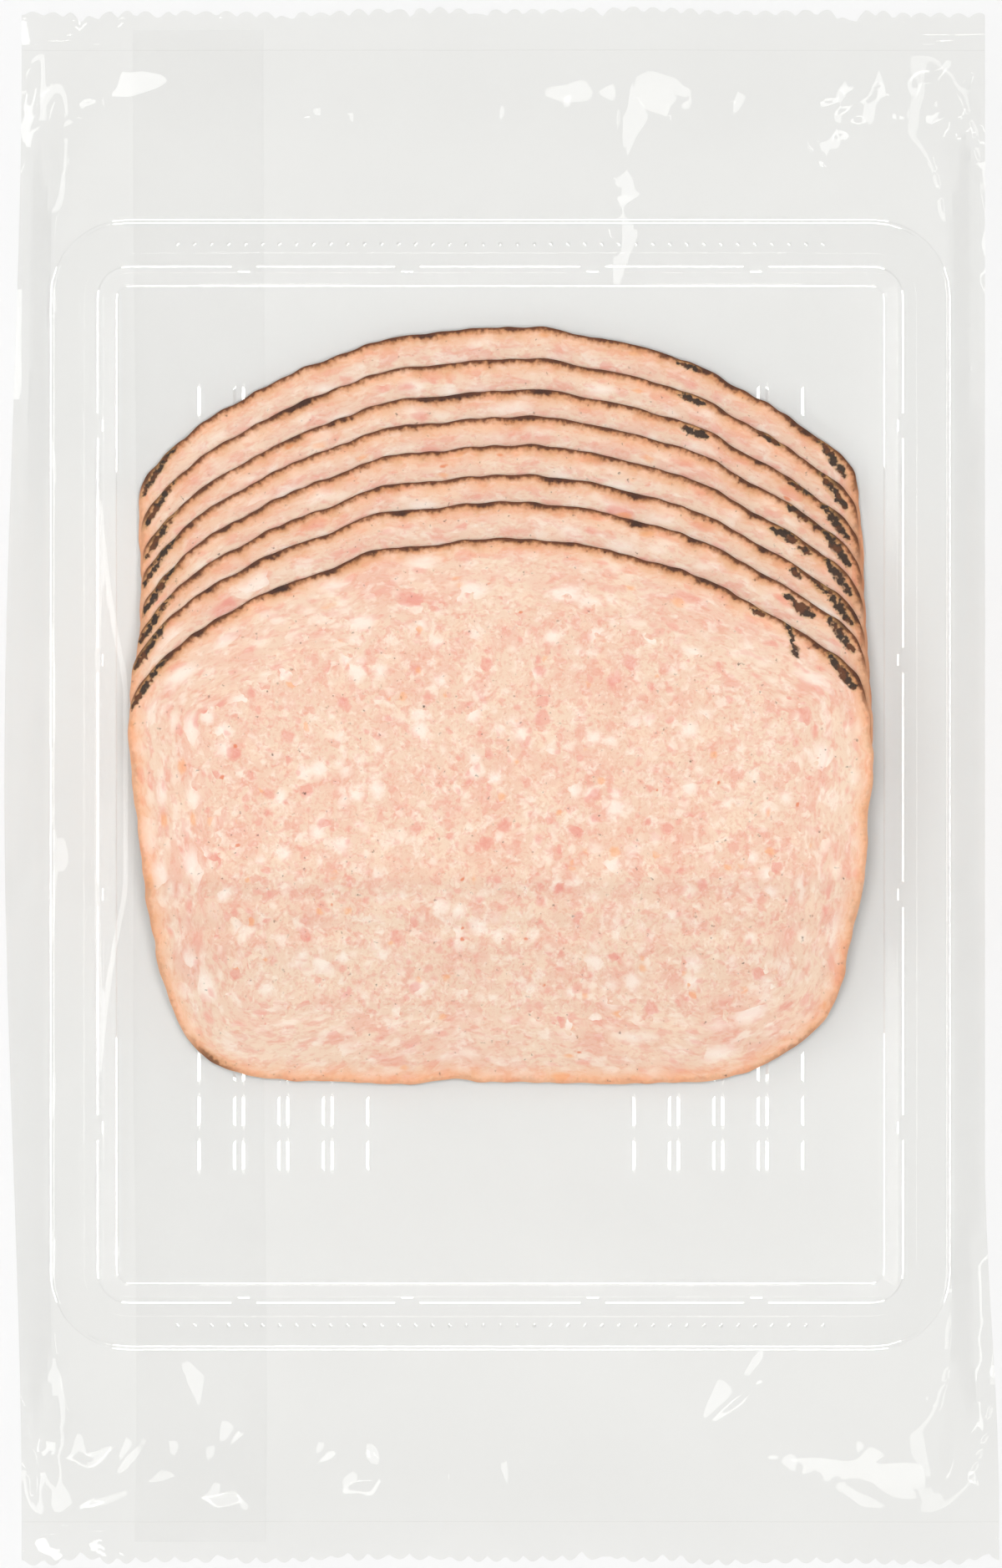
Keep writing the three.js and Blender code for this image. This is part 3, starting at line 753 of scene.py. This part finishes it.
def clear_tray(material, edge_material):
    deselect_all()
    bpy.ops.mesh.primitive_plane_add(size=2, location=(TRAY_MIDDLE.x * MM, TRAY_MIDDLE.y * MM, 0))
    tray = bpy.context.object
    tray.scale = (RIM_HALF.x * MM, RIM_HALF.y * MM, 1)
    tray.location.z = RIM_Z * MM
    bpy.ops.object.transform_apply(location=True, rotation=True, scale=True)
    bpy.ops.object.mode_set(mode="EDIT")
    bpy.ops.mesh.select_all(action="SELECT")
    bpy.ops.mesh.bevel(offset=RIM_RADIUS * MM, segments=8, affect="VERTICES")
    for inward, rise in tray_section():
        bpy.ops.mesh.inset(thickness=inward * MM, depth=rise * MM)
    for axis, places in ((0, LUGS_ALONG_X), (1, LUGS_ALONG_Y)):
        for place in places:
            for side in (-1, 1):
                denest_lug(tray, axis, place, side)

    # Pads on the floor, cut out of it, framed by a groove and raised.
    low, high = PAD_GROUP_LOW, PAD_GROUP_LOW + PAD_ROWS * PAD_PITCH

    def on_floor(middle, normal):
        return middle.z < FLOOR_Z + 0.1 and normal.z > 0.95

    for left in PAD_GROUP_LEFT:
        right = left + PAD_COLUMNS * PAD_PITCH
        for x in (left, right):
            pick(tray, on_floor)
            bpy.ops.mesh.bisect(plane_co=(x * MM, 0, 0), plane_no=(1, 0, 0))
    for y in (low, high):
        pick(tray, on_floor)
        bpy.ops.mesh.bisect(plane_co=(0, y * MM, 0), plane_no=(0, 1, 0))

    def on_pads(middle, normal):
        in_group = any(left < middle.x < left + PAD_COLUMNS * PAD_PITCH for left in PAD_GROUP_LEFT)
        return on_floor(middle, normal) and in_group and low < middle.y < high

    for k in range(1, PAD_ROWS):
        pick(tray, on_pads)
        bpy.ops.mesh.bisect(plane_co=(0, (low + k * PAD_PITCH) * MM, 0), plane_no=(0, 1, 0))
    for left in PAD_GROUP_LEFT:
        for k in range(1, PAD_COLUMNS):
            pick(tray, on_pads)
            bpy.ops.mesh.bisect(plane_co=((left + k * PAD_PITCH) * MM, 0, 0), plane_no=(1, 0, 0))
    pick(tray, on_pads)
    bpy.ops.mesh.inset(use_individual=True, thickness=PAD_GROOVE / 2 * MM)
    bpy.ops.mesh.bevel(offset=PAD_CORNER_RADIUS * MM, segments=3, affect="VERTICES")

    def on_pad_tops(middle, normal):
        if not on_pads(middle, normal):
            return False
        left = max(left for left in PAD_GROUP_LEFT if middle.x > left)
        places = ((middle.x - left) / PAD_PITCH, (middle.y - low) / PAD_PITCH)
        return all(abs(place % 1 - 0.5) < 0.1 for place in places)

    pick(tray, on_pad_tops)
    bpy.ops.mesh.inset(use_individual=True, thickness=0.06 * MM, depth=(PAD_RISE - PAD_TOP_RISE) * MM)
    bpy.ops.mesh.inset(use_individual=True, thickness=0.42 * MM, depth=PAD_TOP_RISE * MM)
    bpy.ops.object.mode_set(mode="OBJECT")
    for corner in tray.data.vertices:
        x, y, z = corner.co / MM
        on_pad_top = FLOOR_Z + PAD_RISE - 0.15 < z < RIM_Z / 2
        if on_pad_top and on_pads(Vector((x, y, FLOOR_Z)), Vector((0, 0, 1))):
            row_middle = low + (math.floor((y - low) / PAD_PITCH) + 0.5) * PAD_PITCH
            corner.co.y = mix(row_middle, y, PAD_SQUEEZE) * MM
    apply_modifier(tray, "SOLIDIFY", thickness=SHEET_THICKNESS * MM, offset=-1)
    finish_piece(tray, "Thermoformed_tray", "clear_tray", material, 24)
    # The mould polishes the chamfers, but not the flank of the rim's bead that looks inwards at the sides.
    tray.data.materials.append(edge_material)
    for face in tray.data.polygons:
        beside_middle = face.normal.x * (face.center.x / MM - TRAY_MIDDLE.x)
        inner_bead = face.center.z > (RIM_Z - 0.02) * MM and beside_middle < INWARD_FLANK
        if abs(face.normal.z - math.cos(CHAMFER_TILT)) < POLISH_TOLERANCE and not inner_bead:
            face.material_index = 1
            face.use_smooth = False
    return tray


# ---------------------------------------------------------------- film


def side_fold_x(side, y):
    """How far the side folds stand from the middle."""
    middle = 1 - smooth_step(0, 0.95 * SEAL_EDGE_Y, abs(y))
    foot = smooth_step(55, 108, -y)
    if side < 0:
        return EDGE_X - DRAWN_IN_LEFT + DRAWN_IN_LEFT * middle
    return EDGE_X - DRAWN_IN_RIGHT + DRAWN_IN_RIGHT * foot


def edge_share(x, y, half):
    """0 at the edge of the bag, rising evenly to 1 at a rectangle inside it, with rounded corners between."""
    off_x, off_y = abs(x - TRAY_MIDDLE.x), abs(y - TRAY_MIDDLE.y)
    across = clamp((off_x - half.x) / max(side_fold_x(x, y) - half.x, 0.1))
    along = clamp((off_y - half.y) / (BAG_END_Y - half.y))
    return 1 - min((across ** CORNER_ROUNDNESS + along ** CORNER_ROUNDNESS) ** (1 / CORNER_ROUNDNESS), 1)


def span_height(x, y):
    """Film inside the rim: it rests on the front slice and sags a little on its way to the rim."""
    inner_x, inner_y = RIM_HALF.x - RIM_WIDTH, RIM_HALF.y - RIM_WIDTH
    across = min(abs(x - TRAY_MIDDLE.x) / inner_x, 1)
    roof_share = min(abs(x) / CROWN_HALF.x, 1)
    roof_y = CROWN_HALF.y + ROOF_RISE * (1 - roof_share ** 2)
    past_roof = (y - roof_y) / (inner_y - roof_y)
    past_foot = (-CROWN_HALF.y - y) / (inner_y - CROWN_HALF.y)
    beyond = clamp(max(past_roof, past_foot))
    lift = (CROWN_Z - FILM_RIM_Z) * (1 - beyond) ** 3
    lift = min(lift, inner_x * (1 - across) * RAMP_SLOPE)
    return FILM_RIM_Z + lift - FILM_SAG * 4 * beyond * (1 - beyond) * (1 - across ** 2)


def pinch(x, y):
    """Where the side folds are pinched flat into a narrow flange, which catches the light."""
    if x < 0:
        return smooth_step(108, 98, y) * smooth_step(30, 62, y) + 0.5 * smooth_step(-70, -92, y)
    return (0.8 * smooth_step(50, 62, y) * smooth_step(104, 96, y) + smooth_step(-62, -72, y)
            + 0.35 * smooth_step(4, 0.5, abs(y + 14)))


def kite(fold, x, y):
    """Height of one crumple: four flat facets that meet in a peak, as film folds."""
    start_x, start_y, end_x, end_y, peak, left, right, height = fold
    run_x, run_y = end_x - start_x, end_y - start_y
    length = math.hypot(run_x, run_y)
    along = ((x - start_x) * run_x + (y - start_y) * run_y) / length ** 2
    if not 0 < along < 1:
        return 0.0
    off = ((x - start_x) * run_y - (y - start_y) * run_x) / length
    away = off / right if off > 0 else -off / left
    return height * max(0.0, min(along / peak, (1 - along) / (1 - peak)) - away)


def crumple_zone(rng, count, low, high, lengths, steepness, aim, spread):
    """Random kites in a rectangle of the film. aim is the direction of their ridges, in degrees."""
    folds = []
    for _ in range(count):
        x, y = rng.uniform(low[0], high[0]), rng.uniform(low[1], high[1])
        length = rng.uniform(*lengths)
        turn = math.radians(aim + rng.uniform(-spread, spread))
        left, right = (length * rng.uniform(0.16, 0.5) for _ in range(2))
        height = min(left, right) * rng.uniform(*steepness) * rng.choice((1, 1, -1))
        run = Vector((math.cos(turn), math.sin(turn))) * length
        folds.append((x, y, x + run.x, y + run.y, rng.uniform(0.3, 0.7), left, right, height))
    return folds


def film_crumples():
    rng = random.Random(CRUMPLE_SEED)
    folds = list(FOLDS)
    for zone in CRUMPLE_ZONES:
        folds += crumple_zone(rng, *zone)
    return folds


def seal_wave(x, end):
    """How an end seal leaves its plane: long soft waves."""
    long_wave = 0.55 * math.sin(0.045 * x + 1.3 * end)
    return long_wave + 0.25 * math.sin(0.12 * x - end) + 0.1 * math.sin(0.31 * x)


def film_heights(crumples, x, y):
    """Height of the upper and the lower layer of film at a place."""
    share = edge_share(x, y, RIM_HALF)
    bulge = mix(math.sin(math.pi / 2 * share), share, 0.88)
    steep = 1 - (1 - share) * (1 - FLANGE_RISE) / (1 - FLANGE_SHARE)
    flange = max(share * FLANGE_RISE / FLANGE_SHARE, steep)
    rise = mix(bulge, flange, pinch(x, y) * smooth_step(RIM_HALF.x - 2, RIM_HALF.x + 1, abs(x)))
    inside = edge_share(x, y, RIM_HALF - Vector((RIM_WIDTH, RIM_WIDTH))) >= 1
    upper = span_height(x, y) if inside else mix(FILM_EDGE_Z, FILM_RIM_Z, rise)
    share_below = edge_share(x, y, FLOOR_HALF)
    # Its slopes stay clear of those that mirror the lights, as the underside would otherwise gleam.
    lower = mix(BASE_GAP, FILM_EDGE_Z, max(0.2 * (1 - share_below), 1 - 2.4 * share_below))
    wave = seal_wave(x, math.copysign(1, y)) * smooth_step(98, BAG_END_Y, abs(y))
    relief = sum(kite(fold, x, y) for fold in crumples)
    free = smooth_step(0, 0.12, share)
    upper += relief * free + FILM_THICKNESS / 2
    lower -= 0.3 * relief * free * smooth_step(1, 0.7, share_below) + FILM_THICKNESS / 2
    return upper + wave, lower + wave


def row_y(v):
    """Where a row of the film's grid lies: close together near the crumpled ends, loose over the slices."""
    off = abs(v)
    if off < CALM_ROWS:
        return v / CALM_ROWS * CALM_HALF
    return math.copysign(mix(CALM_HALF, BAG_END_Y, (off - CALM_ROWS) / (1 - CALM_ROWS)), v)


def fold_spans(fold, y):
    """Whether any of a kite can lie at a given y."""
    reach = max(fold[5], fold[6])
    return min(fold[1], fold[3]) - reach < y < max(fold[1], fold[3]) + reach


def two_layers(columns, rows):
    """A closed box from -1 to 1 with a fine grid on its underside at 0 and on its top at 1, to be shaped."""
    deselect_all()
    bpy.ops.mesh.primitive_grid_add(x_subdivisions=columns, y_subdivisions=rows, size=2)
    bpy.ops.object.mode_set(mode="EDIT")
    bpy.ops.mesh.select_all(action="SELECT")
    bpy.ops.mesh.extrude_region_move(TRANSFORM_OT_translate={"value": (0, 0, 1)})
    bpy.ops.mesh.select_all(action="SELECT")
    bpy.ops.mesh.normals_make_consistent(inside=False)
    bpy.ops.object.mode_set(mode="OBJECT")
    return bpy.context.object


def film_bag(material):
    bag = two_layers(BAG_COLUMNS, BAG_ROWS)
    crumples = film_crumples()
    heights = {}
    last_y = None
    for vertex in bag.data.vertices:
        u, v, upper = vertex.co
        y = row_y(v)
        x = u * side_fold_x(u, y)
        if y != last_y:
            in_row = [fold for fold in crumples if fold_spans(fold, y)]
            last_y = y
        place = (round(u, 4), round(v, 4))
        if place not in heights:
            heights[place] = film_heights(in_row, x, y)
        vertex.co = Vector((x, y, heights[place][0 if upper > 0.5 else 1])) * MM
    return finish_piece(bag, "Film_bag", "clear_film", material, 28)


def end_seal(end, name, material):
    """A crimped band: both layers of film pressed into fine ribs, cut off in shallow teeth."""
    left, right = -side_fold_x(-1, end * SEAL_EDGE_Y), side_fold_x(1, end * SEAL_EDGE_Y)
    columns = round((right - left) / TOOTH_PITCH) * SEAL_COLUMNS_PER_TOOTH
    seal = two_layers(columns, SEAL_ROWS)
    rng = random.Random(SEAL_SEED + end)
    # Dents in the cut edge: where, how deep and how wide. The last one is the large one near a corner.
    dents = []
    for _ in range(SEAL_DENTS):
        dents.append((rng.uniform(left, right), rng.uniform(0.3, 1.0), rng.uniform(0.8, 2.2)))
    dents.append((52, 1.6, 2.6) if end > 0 else (-63, 1.2, 3.5))
    for vertex in seal.data.vertices:
        u, v, upper = vertex.co
        outward = 0.5 + 0.5 * v * end  # 0 at the bag, 1 at the cut edge
        x = mix(left, right, 0.5 + 0.5 * u)
        tooth = abs(math.sin(math.pi * (x - left) / TOOTH_PITCH + 0.35 * math.sin(0.21 * x)))
        wander = 0.45 * (0.6 * math.sin(0.055 * x + end) + 0.4 * math.sin(0.19 * x - 2 * end))
        size = 0.75 + 0.5 * noise.noise(Vector((x / 6, 3 * end, 0)))
        edge = SEAL_EDGE_Y + wander + TOOTH_HEIGHT * size * (tooth - 0.5)
        edge -= sum(deep * max(0.0, 1 - abs(x - place) / wide) for place, deep, wide in dents)
        distance = mix(BAG_END_Y - 0.05, edge, outward)
        band = smooth_step(BAG_END_Y - 0.2, BAG_END_Y + 0.6, distance)
        band *= smooth_step(edge - 0.3, edge - 1.2, distance)
        near_corner = smooth_step(44, 70, abs(x))
        rib = mix(CRIMP_DEPTH, CRIMP_DEPTH_CORNER, near_corner) * band
        rib *= math.sin(2 * math.pi * (distance - BAG_END_Y) / CRIMP_PITCH)
        crease = 0.5 * near_corner * noise.noise(Vector((x / 4, distance / 2.2, 9 * end)))
        curl = 0.35 * noise.noise(Vector((x / 7, 4 * end, 0))) * smooth_step(edge - 2.5, edge, distance)
        height = FILM_EDGE_Z + seal_wave(x, end) + (rib + crease) * smooth_step(0, 0.2, outward) + curl
        height += SEAL_HALF_THICKNESS * smooth_step(-0.05, 0.3, outward) * (1 if upper > 0.5 else -1)
        vertex.co = Vector((x, end * distance, height)) * MM
    return finish_piece(seal, name, "clear_film", material, 80)


def lap_seam(material):
    """Where the two long edges of the film overlap and are sealed, along the underside of the bag."""
    seam = two_layers(SEAM_COLUMNS, BAG_ROWS)
    for vertex in seam.data.vertices:
        u, v, upper = vertex.co
        y = v * (BAG_END_Y + SEAM_PAST_BAG)
        x = mix(*SEAM_X, 0.5 + 0.5 * u) + 0.25 * math.sin(0.05 * y)
        _, below = film_heights([], x, clamp(y, -BAG_END_Y, BAG_END_Y))
        height = below - SEAM_GAP - (0 if upper > 0.5 else SEAM_THICKNESS)
        vertex.co = Vector((x, y, height - 0.16 * smooth_step(108, 111, abs(y)))) * MM  # under the end seals
    return finish_piece(seam, "Lap_seam", "clear_film", material, 80)


# ---------------------------------------------------------------- the whole pack

camera()
studio()
table_top()
# Cast polypropylene film: smooth and very faintly grey, with soft gleams wherever it is folded.
film = clear_sheet("Polypropylene_film_cast_clear", 0.018, 0.4, "fafaf9", "f1f1f0")
# The same film where it is lapped and sealed: one more layer under the bag, hardly seen and without a gleam.
lapped_film = clear_sheet("Polypropylene_film_lap_sealed", 0.008, 0.3, "fefefe", "fcfcfc")
# Thermoformed PET sheet: as clear as water, so that the tray shows only by what its bends mirror.
tray_sheet = clear_sheet("PET_sheet_thermoformed_clear", 0.018, 0.2, "ffffff", "ffffff")
# The same sheet where the mould has pressed it into sharp edges: thin white lines, which mirror the strips.
tray_edges = clear_sheet("PET_sheet_mould_polished_edges", 0.14, 0.16, "ffffff", "ffffff")
meat = baked_meat()
clear_tray(tray_sheet, tray_edges)
embossed_dots(1, "Rim_dots_far", tray_edges)
embossed_dots(-1, "Rim_dots_near", tray_edges)
for number in range(len(SLICES)):
    meat_slice(number, meat)
film_bag(film)
end_seal(1, "End_seal_far", film)
end_seal(-1, "End_seal_near", film)
lap_seam(lapped_film)
